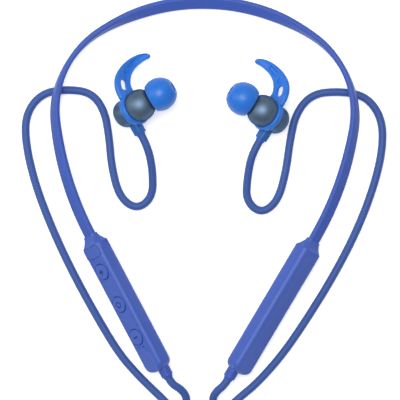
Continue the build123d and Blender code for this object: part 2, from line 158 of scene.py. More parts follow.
def loft(name: str, rings: Sequence[Sequence[Vector]],
         place: Matrix, closed: bool = False) -> bpy.types.Object:
    """A skin over rings with equal point counts, with flat ends unless it closes on itself.

    Args:
        name: The piece's name.
        rings: The rings, in order.
        place: The placing matrix.
        closed: Whether the last ring joins the first.

    Returns:
        The new object.
    """
    count = len(rings[0])
    points = [p for ring in rings for p in ring]
    faces: list[tuple[int, ...]] = []
    for row in range(len(rings) if closed else len(rings) - 1):
        low, high = row * count, ((row + 1) % len(rings)) * count
        for k in range(count):
            after = (k + 1) % count
            faces.append((low + k, low + after, high + after, high + k))
    if not closed:
        faces.append(tuple(range(count)))
        faces.append(tuple(range(len(points) - count, len(points))))
    return make_object(name, points, faces, place)


def lathe(name: str, profile: Sequence[Pair], place: Matrix, steps: int = 72) -> bpy.types.Object:
    """A closed outline of (radius, height) turned about the local +Z.

    Args:
        name: The piece's name.
        profile: The outline; a point on the axis has radius 0.
        place: The placing matrix.
        steps: How many sides the round has.

    Returns:
        The new object.
    """
    rings = []
    for step in range(steps):
        a = 2 * math.pi * step / steps
        rings.append([Vector((r * math.cos(a), r * math.sin(a), h)) for r, h in profile])
    return loft(name, rings, place, closed=True)


def arc(centre: Pair, radius: Pair, start: float, end: float, steps: int = 8) -> list[Pair]:
    """Points on an arc of an outline, angles in degrees from the outline's first axis."""
    turns = [math.radians(start + (end - start) * k / steps) for k in range(steps + 1)]
    return [(centre[0] + radius[0] * math.cos(t), centre[1] + radius[1] * math.sin(t)) for t in turns]


def rounded_outline(thick: float, width: float, corner: float, steps: int = 8) -> list[Pair]:
    """The outline of a rectangle with round corners, anticlockwise."""
    x, y = thick / 2 - corner, width / 2 - corner
    outline: list[Pair] = []
    for cx, cy, start in ((x, y, 0), (-x, y, 90), (-x, -y, 180), (x, -y, 270)):
        outline += arc((cx, cy), (corner, corner), start, start + 90, steps)
    return outline


def prism(name: str, outline: Sequence[Pair], low: float, high: float, place: Matrix) -> bpy.types.Object:
    """An outline in the local XY pushed from one height to another."""
    rings = [[Vector((x, y, z)) for x, y in outline] for z in (low, high)]
    return loft(name, rings, place)


def settle(piece: bpy.types.Object) -> bpy.types.Object:
    """Turns a piece's modifiers into its plain mesh."""
    graph = bpy.context.evaluated_depsgraph_get()
    graph.update()
    mesh = bpy.data.meshes.new_from_object(piece.evaluated_get(graph))
    piece.modifiers.clear()
    old = piece.data
    piece.data = mesh
    mesh.name = piece.name
    bpy.data.meshes.remove(old)
    return piece


def combine(piece: bpy.types.Object, tools: Iterable[bpy.types.Object],
            how: str = "DIFFERENCE") -> bpy.types.Object:
    """Cuts or joins a piece with solid tools and removes the tools.

    Args:
        piece: The piece that stays.
        tools: The solids to cut it with, or to add.
        how: DIFFERENCE, UNION or INTERSECT.

    Returns:
        The same piece.
    """
    tools = list(tools)
    for tool in tools:
        step = piece.modifiers.new("cut", "BOOLEAN")
        step.operation, step.solver, step.object = how, "EXACT", tool
    settle(piece)
    for tool in tools:
        bpy.data.objects.remove(tool)
    return piece


def soften_edges(piece: bpy.types.Object, width: float,
                 angle: float = 35.0, segments: int = 2) -> bpy.types.Object:
    """Rounds a piece's sharp edges by a width in millimetres."""
    bevel = piece.modifiers.new("edge", "BEVEL")
    bevel.width, bevel.segments = width * MM, segments
    bevel.limit_method, bevel.angle_limit = "ANGLE", math.radians(angle)
    bevel.use_clamp_overlap = True
    settle(piece)
    piece.data.shade_smooth()
    weight = piece.modifiers.new("shade", "WEIGHTED_NORMAL")
    weight.keep_sharp = True
    return settle(piece)


def melt(piece: bpy.types.Object, voxel: float, passes: int) -> bpy.types.Object:
    """Gives a piece the rounded edges and inner corners of moulded silicone.

    Args:
        piece: The piece, closed.
        voxel: The size of the new mesh's cells, in millimetres.
        passes: How often the surface is smoothed.

    Returns:
        The same piece.
    """
    remesh = piece.modifiers.new("melt", "REMESH")
    remesh.mode, remesh.voxel_size = "VOXEL", voxel * MM
    ease = piece.modifiers.new("ease", "SMOOTH")
    ease.factor, ease.iterations = 0.5, passes
    settle(piece)
    piece.data.shade_smooth()
    return piece


def eased(table: Sequence[Pair], at: float) -> float:
    """The value of a smooth curve through the table's pairs."""
    at = min(max(at, table[0][0]), table[-1][0])
    i = max(k for k in range(len(table) - 1) if table[k][0] <= at)

    def slope(k: int) -> float:
        """The table's slope at a pair."""
        low, high = max(k - 1, 0), min(k + 1, len(table) - 1)
        return (table[high][1] - table[low][1]) / (table[high][0] - table[low][0])

    (x0, y0), (x1, y1) = table[i], table[i + 1]
    h = x1 - x0
    t = (at - x0) / h
    rise = y0 * (2 * t**3 - 3 * t**2 + 1) + y1 * (3 * t**2 - 2 * t**3)
    return rise + h * (slope(i) * (t**3 - 2 * t**2 + t) + slope(i + 1) * (t**3 - t**2))


# ---------------------------------------------------------------- finishes


def feed(node: bpy.types.Node, values: dict[str, object]) -> None:
    """Sets a node's inputs by their names."""
    for label, value in values.items():
        node.inputs[label].default_value = value


@dataclass(frozen=True)
class Finish:
    """A moulded or coated surface: its colour, how it varies, its gloss and its fine relief."""

    name: str
    colour: Point
    tone: Point
    rough: Pair = (0.45, 0.6)
    metal: float = 0.0
    coat: float = 0.0
    coat_rough: float = 0.3
    sheen: float = 0.0
    inner: float = 0.0
    specular: float = 0.5
    cloud: float = 60.0
    grain: float = 4000.0
    relief: float = 0.04
    glow: float = 0.0
    # A dark specular tint paints shade onto a metal's rim at grazing angles; white leaves the rim plain.
    tint: Point = (1.0, 1.0, 1.0)

    def build(self) -> bpy.types.Material:
        """The finish as a material."""
        material = bpy.data.materials.new(self.name)
        material.use_nodes = True
        tree = material.node_tree
        shader = tree.nodes["Principled BSDF"]
        feed(shader, {
            "Metallic": self.metal, "Coat Weight": self.coat, "Coat Roughness": self.coat_rough,
            "Sheen Weight": self.sheen, "Sheen Roughness": 0.5, "Specular IOR Level": self.specular,
            "Specular Tint": (*self.tint, 1),
            "Emission Color": (1, 1, 1, 1), "Emission Strength": self.glow})
        if self.inner:
            feed(shader, {"Subsurface Weight": self.inner, "Subsurface Scale": 0.0012,
                          "Subsurface Radius": (0.3, 0.6, 1.0)})
        place = tree.nodes.new("ShaderNodeTexCoord")
        clouds = self.noise(tree, place, self.cloud, 3.0)
        mix = tree.nodes.new("ShaderNodeMix")
        mix.data_type = "RGBA"
        mix.inputs["A"].default_value = (*self.colour, 1)
        mix.inputs["B"].default_value = (*self.tone, 1)
        tree.links.new(clouds.outputs["Fac"], mix.inputs["Factor"])
        tree.links.new(mix.outputs["Result"], shader.inputs["Base Color"])
        grain = self.noise(tree, place, self.grain, 2.0)
        spread = tree.nodes.new("ShaderNodeMapRange")
        feed(spread, {"From Min": 0.3, "From Max": 0.7, "To Min": self.rough[0], "To Max": self.rough[1]})
        tree.links.new(clouds.outputs["Fac"], spread.inputs["Value"])
        tree.links.new(spread.outputs["Result"], shader.inputs["Roughness"])
        bump = tree.nodes.new("ShaderNodeBump")
        feed(bump, {"Strength": self.relief, "Distance": 0.0001})
        tree.links.new(self.height(tree, place, grain), bump.inputs["Height"])
        tree.links.new(bump.outputs["Normal"], shader.inputs["Normal"])
        return material

    def noise(self, tree: bpy.types.NodeTree, place: bpy.types.Node,
              scale: float, detail: float) -> bpy.types.Node:
        """A noise texture on the piece's own coordinates."""
        node = tree.nodes.new("ShaderNodeTexNoise")
        feed(node, {"Scale": scale, "Detail": detail})
        tree.links.new(place.outputs["Object"], node.inputs["Vector"])
        return node

    def height(self, tree: bpy.types.NodeTree,
               place: bpy.types.Node, grain: bpy.types.Node) -> bpy.types.NodeSocket:
        """What the fine relief follows."""
        return grain.outputs["Fac"]


@dataclass(frozen=True)
class SpunFinish(Finish):
    """A satin metal with fine turned marks; a dark specular tint, where given, paints shade onto its rim."""

    marks: float = 9000.0

    def height(self, tree: bpy.types.NodeTree,
               place: bpy.types.Node, grain: bpy.types.Node) -> bpy.types.NodeSocket:
        """Stretched grain, so the marks run one way."""
        turn = tree.nodes.new("ShaderNodeMapping")
        turn.inputs["Scale"].default_value = (1.0, 1.0, 0.05)
        tree.links.new(place.outputs["Object"], turn.inputs["Vector"])
        streaks = tree.nodes.new("ShaderNodeTexNoise")
        streaks.inputs["Scale"].default_value = self.marks
        tree.links.new(turn.outputs["Vector"], streaks.inputs["Vector"])
        return streaks.outputs["Fac"]


@dataclass(frozen=True)
class BoardFinish(Finish):
    """Green solder mask with copper tracks under it."""

    track: float = 900.0

    def height(self, tree: bpy.types.NodeTree,
               place: bpy.types.Node, grain: bpy.types.Node) -> bpy.types.NodeSocket:
        """Raised tracks in a square maze."""
        cells = tree.nodes.new("ShaderNodeTexVoronoi")
        cells.distance = "CHEBYCHEV"
        cells.feature = "F1"
        cells.inputs["Scale"].default_value = self.track
        tree.links.new(place.outputs["Object"], cells.inputs["Vector"])
        return cells.outputs["Distance"]


class Palette:
    """Every finish of the earphones, built once."""

    def __init__(self) -> None:
        """Builds the materials."""
        self.band = Finish("band_silicone", (0.036, 0.086, 0.400), (0.044, 0.102, 0.435), (0.50, 0.60),
                           sheen=0.08, specular=0.35, cloud=45, grain=5200, relief=0.10).build()
        self.pod = Finish("soft_touch_coating", (0.040, 0.092, 0.420), (0.048, 0.108, 0.455), (0.42, 0.50),
                          sheen=0.06, specular=0.4, coat=0.1, coat_rough=0.45, cloud=40, grain=6000,
                          relief=0.06).build()
        self.key = Finish("key_coating", (0.042, 0.096, 0.425), (0.050, 0.112, 0.460), (0.42, 0.50),
                          specular=0.4, coat=0.1, coat_rough=0.45, grain=6000, relief=0.05).build()
        # Painted shade: a darker finish for the floor of the keys' pressed signs.
        self.sign = Finish("key_sign", (0.014, 0.036, 0.200), (0.018, 0.044, 0.230), (0.55, 0.65),
                           specular=0.3, grain=6000, relief=0.05).build()
        self.cover = Finish("cover_silicone", (0.044, 0.102, 0.430), (0.052, 0.118, 0.460), (0.48, 0.58),
                            sheen=0.08, specular=0.35, grain=5200, relief=0.08).build()
        self.cord = Finish("cord_jacket", (0.034, 0.082, 0.300), (0.042, 0.098, 0.335), (0.46, 0.56),
                           specular=0.3, cloud=70, grain=3600, relief=0.14).build()
        self.relief = Finish("relief_elastomer", (0.036, 0.088, 0.400), (0.044, 0.102, 0.430), (0.46, 0.56),
                             specular=0.35, grain=4200, relief=0.10).build()
        self.stem = Finish("stem_plastic", (0.016, 0.110, 0.350), (0.022, 0.130, 0.400), (0.36, 0.46),
                           specular=0.4, grain=6000, relief=0.05).build()
        self.ear = Finish("ear_silicone", (0.012, 0.150, 0.600), (0.020, 0.185, 0.660), (0.38, 0.48),
                          inner=0.25, specular=0.4, coat=0.1, cloud=80, grain=5200, relief=0.05).build()
        # The ball and the rear take a dark blue specular tint: painted shade on their rims.
        self.ball = SpunFinish("satin_metal", (0.130, 0.200, 0.290), (0.150, 0.225, 0.320), (0.50, 0.56),
                               metal=0.95, tint=(0.02, 0.05, 0.10), cloud=120, relief=0.05).build()
        self.rear = SpunFinish("rear_metal", (0.130, 0.215, 0.320), (0.155, 0.240, 0.350), (0.38, 0.44),
                               metal=0.95, tint=(0.02, 0.05, 0.10), cloud=120, relief=0.05).build()
        self.steel = SpunFinish("plated_steel", (0.55, 0.56, 0.58), (0.62, 0.63, 0.65), (0.25, 0.35),
                                metal=1.0, relief=0.05).build()
        self.spring = SpunFinish("spring_steel", (0.42, 0.43, 0.45), (0.50, 0.51, 0.53), (0.28, 0.4),
                                 metal=1.0, relief=0.08).build()
        self.magnet = SpunFinish("magnet_nickel", (0.60, 0.59, 0.56), (0.68, 0.67, 0.64), (0.12, 0.2),
                                 metal=1.0, relief=0.03).build()
        self.copper = SpunFinish("enamelled_copper", (0.55, 0.22, 0.09), (0.62, 0.27, 0.12), (0.25, 0.35),
                                 metal=1.0, coat=0.5, relief=0.03).build()
        self.board = BoardFinish("solder_mask", (0.010, 0.110, 0.035), (0.016, 0.150, 0.050), (0.25, 0.4),
                                 coat=0.5, coat_rough=0.2, cloud=400, relief=0.35).build()
        self.chip = Finish("chip_epoxy", (0.012, 0.012, 0.014), (0.022, 0.022, 0.024), (0.5, 0.65),
                           grain=9000, relief=0.15).build()
        self.ceramic = Finish("antenna_ceramic", (0.72, 0.71, 0.66), (0.78, 0.77, 0.72), (0.4, 0.5),
                              grain=8000, relief=0.08).build()
        self.film = Finish("diaphragm_film", (0.62, 0.56, 0.44), (0.68, 0.62, 0.50), (0.15, 0.25),
                           coat=0.4, grain=2500, relief=0.1).build()
        self.foil = Finish("battery_foil", (0.55, 0.56, 0.58), (0.66, 0.67, 0.69), (0.22, 0.42),
                           metal=0.9, cloud=300, grain=900, relief=0.25).build()
        self.foam = Finish("battery_foam", (0.02, 0.02, 0.022), (0.035, 0.035, 0.038), (0.85, 0.95),
                           specular=0.2, grain=1800, relief=0.6).build()
        self.floor = Finish("pale_floor", (0.90, 0.90, 0.90), (0.91, 0.91, 0.91), (0.6, 0.7),
                            specular=0.1, cloud=3, grain=900, relief=0.01, glow=0.42).build()


def dress(piece: bpy.types.Object, material: bpy.types.Material) -> bpy.types.Object:
    """Gives a piece its material."""
    piece.data.materials.clear()
    piece.data.materials.append(material)
    return piece


def hand_over(piece: bpy.types.Object, body: str, slot: str, *nodes: str) -> bpy.types.Object:
    """Puts a finished piece on its body and hides the nodes that it stands for."""
    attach(piece, body)
    if nodes:
        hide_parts(*nodes)
    LOG.info("%s rides on %s", piece.name, body)
    return piece


# ---------------------------------------------------------------- repeated detail


class Pattern:
    """A node tree that repeats a small shape, run once and turned into a plain mesh."""

    def __init__(self, name: str, sizes: dict[str, float]) -> None:
        """Starts the tree.

        Args:
            name: The tree's name.
            sizes: Named inputs and their values, in metres, counts or angles.
        """
        self.name = name
        self.sizes = sizes
        self.tree = bpy.data.node_groups.new(name, "GeometryNodeTree")
        self.ids: dict[str, str] = {}
        for label, value in sizes.items():
            kind = "NodeSocketInt" if isinstance(value, int) else "NodeSocketFloat"
            socket = self.tree.interface.new_socket(label, in_out="INPUT", socket_type=kind)
            self.ids[label] = socket.identifier
        self.finish_id = self.tree.interface.new_socket(
            "Finish", in_out="INPUT", socket_type="NodeSocketMaterial").identifier
        self.tree.interface.new_socket("Geometry", in_out="OUTPUT", socket_type="NodeSocketGeometry")
        self.entry = self.tree.nodes.new("NodeGroupInput")
        self.exit = self.tree.nodes.new("NodeGroupOutput")

    def node(self, kind: str, **links: object) -> bpy.types.Node:
        """Adds a node and joins or sets its inputs.

        Args:
            kind: The node's type.
            **links: Input names, with spaces as underscores, and a socket or a value for each.

        Returns:
            The new node.
        """
        node = self.tree.nodes.new(kind)
        for label, value in links.items():
            socket = node.inputs[int(label[1:])] if label[0] == "_" else node.inputs[label.replace("_", " ")]
            if isinstance(value, bpy.types.NodeSocket):
                self.tree.links.new(value, socket)
            else:
                socket.default_value = value
        return node

    def math(self, operation: str, *values: object) -> bpy.types.NodeSocket:
        """A calculation's result."""
        node = self.node("ShaderNodeMath", **{f"_{k}": v for k, v in enumerate(values)})
        node.operation = operation
        return node.outputs[0]

    def read(self, label: str) -> bpy.types.NodeSocket:
        """A named input's socket."""
        return self.entry.outputs[label]

    def grow(self, geometry: bpy.types.NodeSocket,
             material: bpy.types.Material, place: Matrix) -> bpy.types.Object:
        """Ends the tree, runs it and returns the plain mesh it makes.

        Args:
            geometry: The last geometry socket.
            material: The finish.
            place: Where the pattern goes, from metres in its own frame to the shared frame.

        Returns:
            The new object.
        """
        real = self.node("GeometryNodeRealizeInstances", Geometry=geometry)
        dressed = self.node("GeometryNodeSetMaterial", Geometry=real.outputs[0],
                            Material=self.read("Finish"))
        self.tree.links.new(dressed.outputs[0], self.exit.inputs[0])
        piece = bpy.data.objects.new(self.name, bpy.data.meshes.new(self.name))
        bpy.context.scene.collection.objects.link(piece)
        run = piece.modifiers.new("pattern", "NODES")
        run.node_group = self.tree
        for label, value in self.sizes.items():
            run[self.ids[label]] = value
        run[self.finish_id] = material
        settle(piece)
        piece.data.transform(place)
        if place.determinant() < 0:
            piece.data.flip_normals()
        return piece


def relief_ribs(name: str, place: Matrix, material: bpy.types.Material, ribs: int = 3) -> bpy.types.Object:
    """Raised rings round a tapered relief.

    Args:
        name: The piece's name.
        place: The relief's frame, in metres, with +Z along the cord.
        material: The finish.
        ribs: How many rings there are.

    Returns:
        The rings as one mesh.
    """
    p = Pattern(name, {"First": 0.7 * MM, "Pitch": 0.8 * MM, "Root": 2.38 * MM, "Taper": 0.004 * MM,
                       "Bead": 0.13 * MM, "Ribs": ribs})
    line = p.node("GeometryNodeMeshLine", Count=p.read("Ribs"), Offset=(0, 0, 0))
    index = p.node("GeometryNodeInputIndex").outputs[0]
    height = p.math("MULTIPLY_ADD", index, p.read("Pitch"), p.read("First"))
    spot = p.node("ShaderNodeCombineXYZ", Z=height)
    moved = p.node("GeometryNodeSetPosition", Geometry=line.outputs[0], Position=spot.outputs[0])
    ring = p.node("GeometryNodeCurvePrimitiveCircle", Resolution=48, Radius=1.0)
    width = p.math("MULTIPLY_ADD", index, p.math("MULTIPLY", p.read("Taper"), -1.0), p.read("Root"))
    size = p.node("ShaderNodeCombineXYZ", X=width, Y=width, Z=1.0)
    placed = p.node("GeometryNodeInstanceOnPoints", Points=moved.outputs[0], Instance=ring.outputs[0],
                    Scale=size.outputs[0])
    real = p.node("GeometryNodeRealizeInstances", Geometry=placed.outputs[0])
    bead = p.node("GeometryNodeCurvePrimitiveCircle", Resolution=10, Radius=p.read("Bead"))
    swept = p.node("GeometryNodeCurveToMesh", Curve=real.outputs[0], Profile_Curve=bead.outputs[0])
    shaded = p.node("GeometryNodeSetShadeSmooth", Geometry=swept.outputs[0])
    return p.grow(shaded.outputs[0], material, place)


def sound_grille(name: str, place: Matrix, material: bpy.types.Material) -> bpy.types.Object:
    """A disc of crossed fine wires over the nozzle's mouth.

    Args:
        name: The piece's name.
        place: The grille's frame, in metres, with +Z out of the nozzle.
        material: The finish.

    Returns:
        The wires as one mesh.
    """
    p = Pattern(name, {"Radius": 2.1 * MM, "Pitch": 0.28 * MM, "Wire": 0.06 * MM, "Wires": 15})
    last = p.math("SUBTRACT", p.read("Wires"), 1)
    half = p.math("MULTIPLY", p.math("MULTIPLY", last, p.read("Pitch")), 0.5)
    layers = []
    for turned in (False, True):
        line = p.node("GeometryNodeMeshLine", Count=p.read("Wires"), Offset=(0, 0, 0))
        index = p.node("GeometryNodeInputIndex").outputs[0]
        across = p.math("SUBTRACT", p.math("MULTIPLY", index, p.read("Pitch")), half)
        lift = 0.00005 if turned else -0.00005
        axes = {"Y": across} if turned else {"X": across}
        spot = p.node("ShaderNodeCombineXYZ", Z=lift, **axes)
        moved = p.node("GeometryNodeSetPosition", Geometry=line.outputs[0], Position=spot.outputs[0])
        squared = p.math("SUBTRACT", p.math("MULTIPLY", p.read("Radius"), p.read("Radius")),
                         p.math("MULTIPLY", across, across))
        chord = p.math("MULTIPLY", p.math("SQRT", squared), 2.0)
        rod = p.node("GeometryNodeMeshCylinder", Vertices=6, Radius=p.read("Wire"), Depth=1.0)
        size = p.node("ShaderNodeCombineXYZ", X=1.0, Y=1.0, Z=chord)
        quarter = math.radians(90)
        turn = (0.0, quarter, 0.0) if turned else (quarter, 0.0, 0.0)
        placed = p.node("GeometryNodeInstanceOnPoints", Points=moved.outputs[0], Instance=rod.outputs[0],
                        Rotation=turn, Scale=size.outputs[0])
        layers.append(placed.outputs[0])
    joined = p.node("GeometryNodeJoinGeometry")
    for layer in layers:
        p.tree.links.new(layer, joined.inputs[0])
    return p.grow(joined.outputs[0], material, place)


def cap_rings(name: str, place: Matrix, material: bpy.types.Material) -> bpy.types.Object:
    """Fine turned ridges on the rear cap.

    Args:
        name: The piece's name.
        place: The cap's frame, in metres, with +Z out of the cap's face.
        material: The finish.

    Returns:
        The ridges as one mesh.
    """
    p = Pattern(name, {"First": 0.6 * MM, "Pitch": 0.36 * MM, "Bead": 0.05 * MM, "Rings": 5})
    line = p.node("GeometryNodeMeshLine", Count=p.read("Rings"), Offset=(0, 0, 0))
    index = p.node("GeometryNodeInputIndex").outputs[0]
    radius = p.math("MULTIPLY_ADD", index, p.read("Pitch"), p.read("First"))
    size = p.node("ShaderNodeCombineXYZ", X=radius, Y=radius, Z=1.0)
    ring = p.node("GeometryNodeCurvePrimitiveCircle", Resolution=64, Radius=1.0)
    placed = p.node("GeometryNodeInstanceOnPoints", Points=line.outputs[0], Instance=ring.outputs[0],
                    Scale=size.outputs[0])
    real = p.node("GeometryNodeRealizeInstances", Geometry=placed.outputs[0])
    bead = p.node("GeometryNodeCurvePrimitiveCircle", Resolution=6, Radius=p.read("Bead"))
    swept = p.node("GeometryNodeCurveToMesh", Curve=real.outputs[0], Profile_Curve=bead.outputs[0])
    shaded = p.node("GeometryNodeSetShadeSmooth", Geometry=swept.outputs[0])
    return p.grow(shaded.outputs[0], material, place)


# ---------------------------------------------------------------- the studio


@dataclass
class Studio:
    """The camera, the pale floor and the soft lights."""

    aim: Pair = (-1.10 * MM, -6.71 * MM)
    distance: float = 1.0
    lens: float = 223.65
    roll: float = 1.46

    def set_camera(self) -> None:
        """Looks straight down on the earphones."""
        camera = bpy.data.objects.new("camera", bpy.data.cameras.new("camera"))
        camera.data.lens = self.lens
        camera.data.clip_start, camera.data.clip_end = 0.01, 20
        camera.location = (*self.aim, self.distance)
        camera.rotation_euler = (0, 0, math.radians(self.roll))
        bpy.context.scene.collection.objects.link(camera)
        bpy.context.scene.camera = camera

    def add_light(self, name: str, place: Point, size: Pair, power: float) -> None:
        """A soft rectangular light that faces the earphones."""
        light = bpy.data.lights.new(name, "AREA")
        light.shape, light.size, light.size_y, light.energy = "RECTANGLE", *size, power
        lamp = bpy.data.objects.new(name, light)
        lamp.location = place
        lamp.rotation_euler = (-Vector(place)).to_track_quat("-Z", "Y").to_euler()
        bpy.context.scene.collection.objects.link(lamp)

    def light(self, floor_finish: bpy.types.Material) -> None:
        """Adds the floor, the lights and the pale surroundings."""
        half = 2.0
        spots = ((-half, -half), (half, -half), (half, half), (-half, half))
        corners = [Vector((x, y, -0.0002)) for x, y in spots]
        floor = make_object("floor", corners, [(0, 1, 2, 3)], Matrix.Identity(4))
        dress(floor, floor_finish)
        self.add_light("overhead", (-0.12, 0.18, 1.3), (0.7, 0.7), 13)
        self.add_light("left_fill", (-1.1, 0.1, 0.8), (0.7, 1.0), 4)
        self.add_light("back_fill", (0.5, 1.1, 0.9), (0.9, 0.5), 1.5)
        world = bpy.data.worlds.new("surroundings")
        world.use_nodes = True
        sky = world.node_tree.nodes["Background"]
        sky.inputs["Color"].default_value = (1.0, 1.0, 1.0, 1)
        sky.inputs["Strength"].default_value = 0.28
        bpy.context.scene.world = world
        bpy.context.scene.view_settings.view_transform = "Standard"


# ---------------------------------------------------------------- the cords


@dataclass
class Cord:
    """An earbud's cord, from the pod's relief to the earbud's relief."""

    side: Side
    route: Sequence[Point]
    length: float
    diameter: float = 3.2 * MM

    def build(self, palette: Palette) -> bpy.types.Object:
        """Lays the cord along its route as one smooth curve."""
        curve = bpy.data.curves.new(f"{self.side.label}_earbud_cord", "CURVE")
        curve.dimensions = "3D"
        spline = curve.splines.new("NURBS")
        spline.points.add(len(self.route) - 1)
        for point, place in zip(spline.points, self.route):
            point.co = (*place, 1)
        spline.order_u = 3
        spline.use_endpoint_u = True
        spline.resolution_u = 14
        curve.bevel_depth = self.diameter / 2
        curve.bevel_resolution = 7
        curve.use_fill_caps = True
        piece = bpy.data.objects.new(curve.name, curve)
        bpy.context.scene.collection.objects.link(piece)
        return dress(piece, palette.cord)

    def declare(self, piece: bpy.types.Object, relief: Sequence[bpy.types.Object]) -> None:
        """Puts the cord on its arm and hides the node that it stands for."""
        hand_over(piece, f"{self.side.label}_arm", "cord_sleeve", f"{self.side.label}_cord")


LEFT_ROUTE = [
    (-0.01176, -0.07828, 0.00536),
    (-0.01049, -0.08055, 0.00536),
    (-0.0070, -0.0825, 0.0046),
    (-0.0047, -0.0852, 0.0034),
    (-0.0044, -0.0882, 0.0024),
    (-0.0066, -0.0909, 0.0017),
    (-0.0104, -0.0909, 0.0016),
    (-0.0138, -0.0872, 0.0016),
    (-0.0192, -0.0824, 0.0016),
    (-0.0246, -0.0773, 0.0016),
    (-0.0320, -0.0693, 0.0016),
    (-0.0414, -0.0546, 0.0016),
    (-0.0519, -0.0365, 0.0016),
    (-0.0608, -0.0185, 0.0016),
    (-0.0678, -0.0012, 0.0016),
    (-0.0719, 0.0152, 0.0016),
    (-0.0719, 0.0262, 0.0016),
    (-0.0660, 0.0344, 0.0016),
    (-0.0564, 0.0364, 0.0016),
    (-0.0460, 0.0355, 0.0016),
    (-0.0404, 0.0284, 0.0016),
    (-0.0382, 0.0173, 0.0016),
    (-0.0370, 0.0060, 0.0016),
    (-0.0336, -0.0062, 0.0016),
    (-0.0266, -0.0112, 0.0016),
    (-0.0203, -0.0063, 0.0019),
    (-0.0202, 0.0033, 0.0037),
    (-0.02217, 0.01339, 0.00635),
    (-0.02512, 0.01850, 0.00635),
]
RIGHT_ROUTE = [
    (0.01176, -0.07828, 0.00536),
    (0.01049, -0.08055, 0.00536),
    (0.0076, -0.0830, 0.0046),
    (0.0059, -0.0859, 0.0035),
    (0.0066, -0.0890, 0.0024),
    (0.0094, -0.0905, 0.0017),
    (0.0130, -0.0894, 0.0016),
    (0.0176, -0.0849, 0.0016),
    (0.0234, -0.0800, 0.0016),
    (0.0334, -0.0683, 0.0016),
    (0.0432, -0.0532, 0.0016),
    (0.0540, -0.0346, 0.0016),
    (0.0626, -0.0166, 0.0016),
    (0.0688, 0.0010, 0.0016),
    (0.0719, 0.0166, 0.0016),
    (0.0710, 0.0284, 0.0016),
    (0.0646, 0.0366, 0.0016),
    (0.0546, 0.0384, 0.0016),
    (0.0430, 0.0372, 0.0016),
    (0.0366, 0.0294, 0.0016),
    (0.0344, 0.0180, 0.0016),
    (0.0332, 0.0060, 0.0016),
    (0.0302, -0.0064, 0.0016),
    (0.0236, -0.0116, 0.0016),
    (0.0174, -0.0066, 0.0019),
    (0.0176, 0.0026, 0.0037),
    (0.01917, 0.01239, 0.00635),
    (0.02212, 0.01750, 0.00635),
]


# ---------------------------------------------------------------- the neckband


@dataclass
class Neckband:
    """The flat springy strip: its line, its roll and its skin."""

    back_y: float = 72.63
    arcs: Sequence[Pair] = ((77.9, 33.3), (38.2, 64.5), (126.3, 22.2))
    width: float = 5.5
    thick: float = 2.4
    corner: float = 1.0
    pod_at: float = 135.5
    in_pod: float = 4.2
    flex_at: float = 55.2
    flex_reach: float = 9.0
    span: float = 1.1
    rolls: Sequence[Pair] = ((0, -57), (26, -44), (42, -15), (57, 1), (68, 9), (81, 26), (102, 41),
                             (122, 46))
    rises: Sequence[Pair] = ((0, 2.12), (30, 3.4), (56, 5.6), (74, 6.3), (100, 5.9), (122, 5.36))

    def place(self, along: float, side: Side = Side.RIGHT) -> Matrix:
        """The strip's frame at a distance from the back's middle.

        Args:
            along: The distance along the strip, in millimetres.
            side: Which arm.

        Returns:
            A placing matrix: +X out of the outer face, +Z along the strip away from the back.
        """
        left, x, y, heading = along, 0.0, self.back_y, 0.0
        for radius, turn in self.arcs:
            step = min(left, radius * math.radians(turn))
            end = heading + step / radius
            x += radius * (math.sin(end) - math.sin(heading))
            y += radius * (math.cos(end) - math.cos(heading))
            heading = end
            left -= step
        x += left * math.cos(heading)
        y -= left * math.sin(heading)
        out = Vector((math.sin(heading), math.cos(heading), 0))
        ahead = Vector((math.cos(heading), -math.sin(heading), 0))
        roll = math.radians(eased(self.rolls, along))
        normal = out * math.cos(roll) + Vector((0, 0, math.sin(roll)))
        origin = Vector((x, y, eased(self.rises, along))) * MM
        return side.mirror @ placing(origin, normal, ahead)

    def build(self, side: Side, palette: Palette) -> bpy.types.Object:
        """One half of the strip's skin, from the back's middle into the pod's collar."""
        outline = rounded_outline(self.thick, self.width, self.corner, 7)
        end = self.pod_at + self.in_pod
        count = round(end / self.span)
        rings = []
        for k in range(count + 1):
            place = self.place(end * k / count, side)
            rings.append([place @ Vector((x, y, 0)) for x, y in outline])
        piece = loft(f"{side.label}_half_band", rings, Matrix.Identity(4))
        return dress(smooth(piece, 50), palette.band)

    def declare(self, side: Side, piece: bpy.types.Object) -> None:
        """Bakes the half strip's place into its mesh and hides the nodes that it stands for."""
        nodes = [f"{side.label}_band_skin"] + (["band_skin_back"] if side is Side.LEFT else [])
        start = self.place(self.flex_at - self.flex_reach, side).translation
        end = self.place(self.flex_at + self.flex_reach, side).translation
        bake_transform(piece)
        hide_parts(*nodes)
        LOG.info("%s bends from the back to the %s arm", piece.name, side.label)


# ---------------------------------------------------------------- the pods


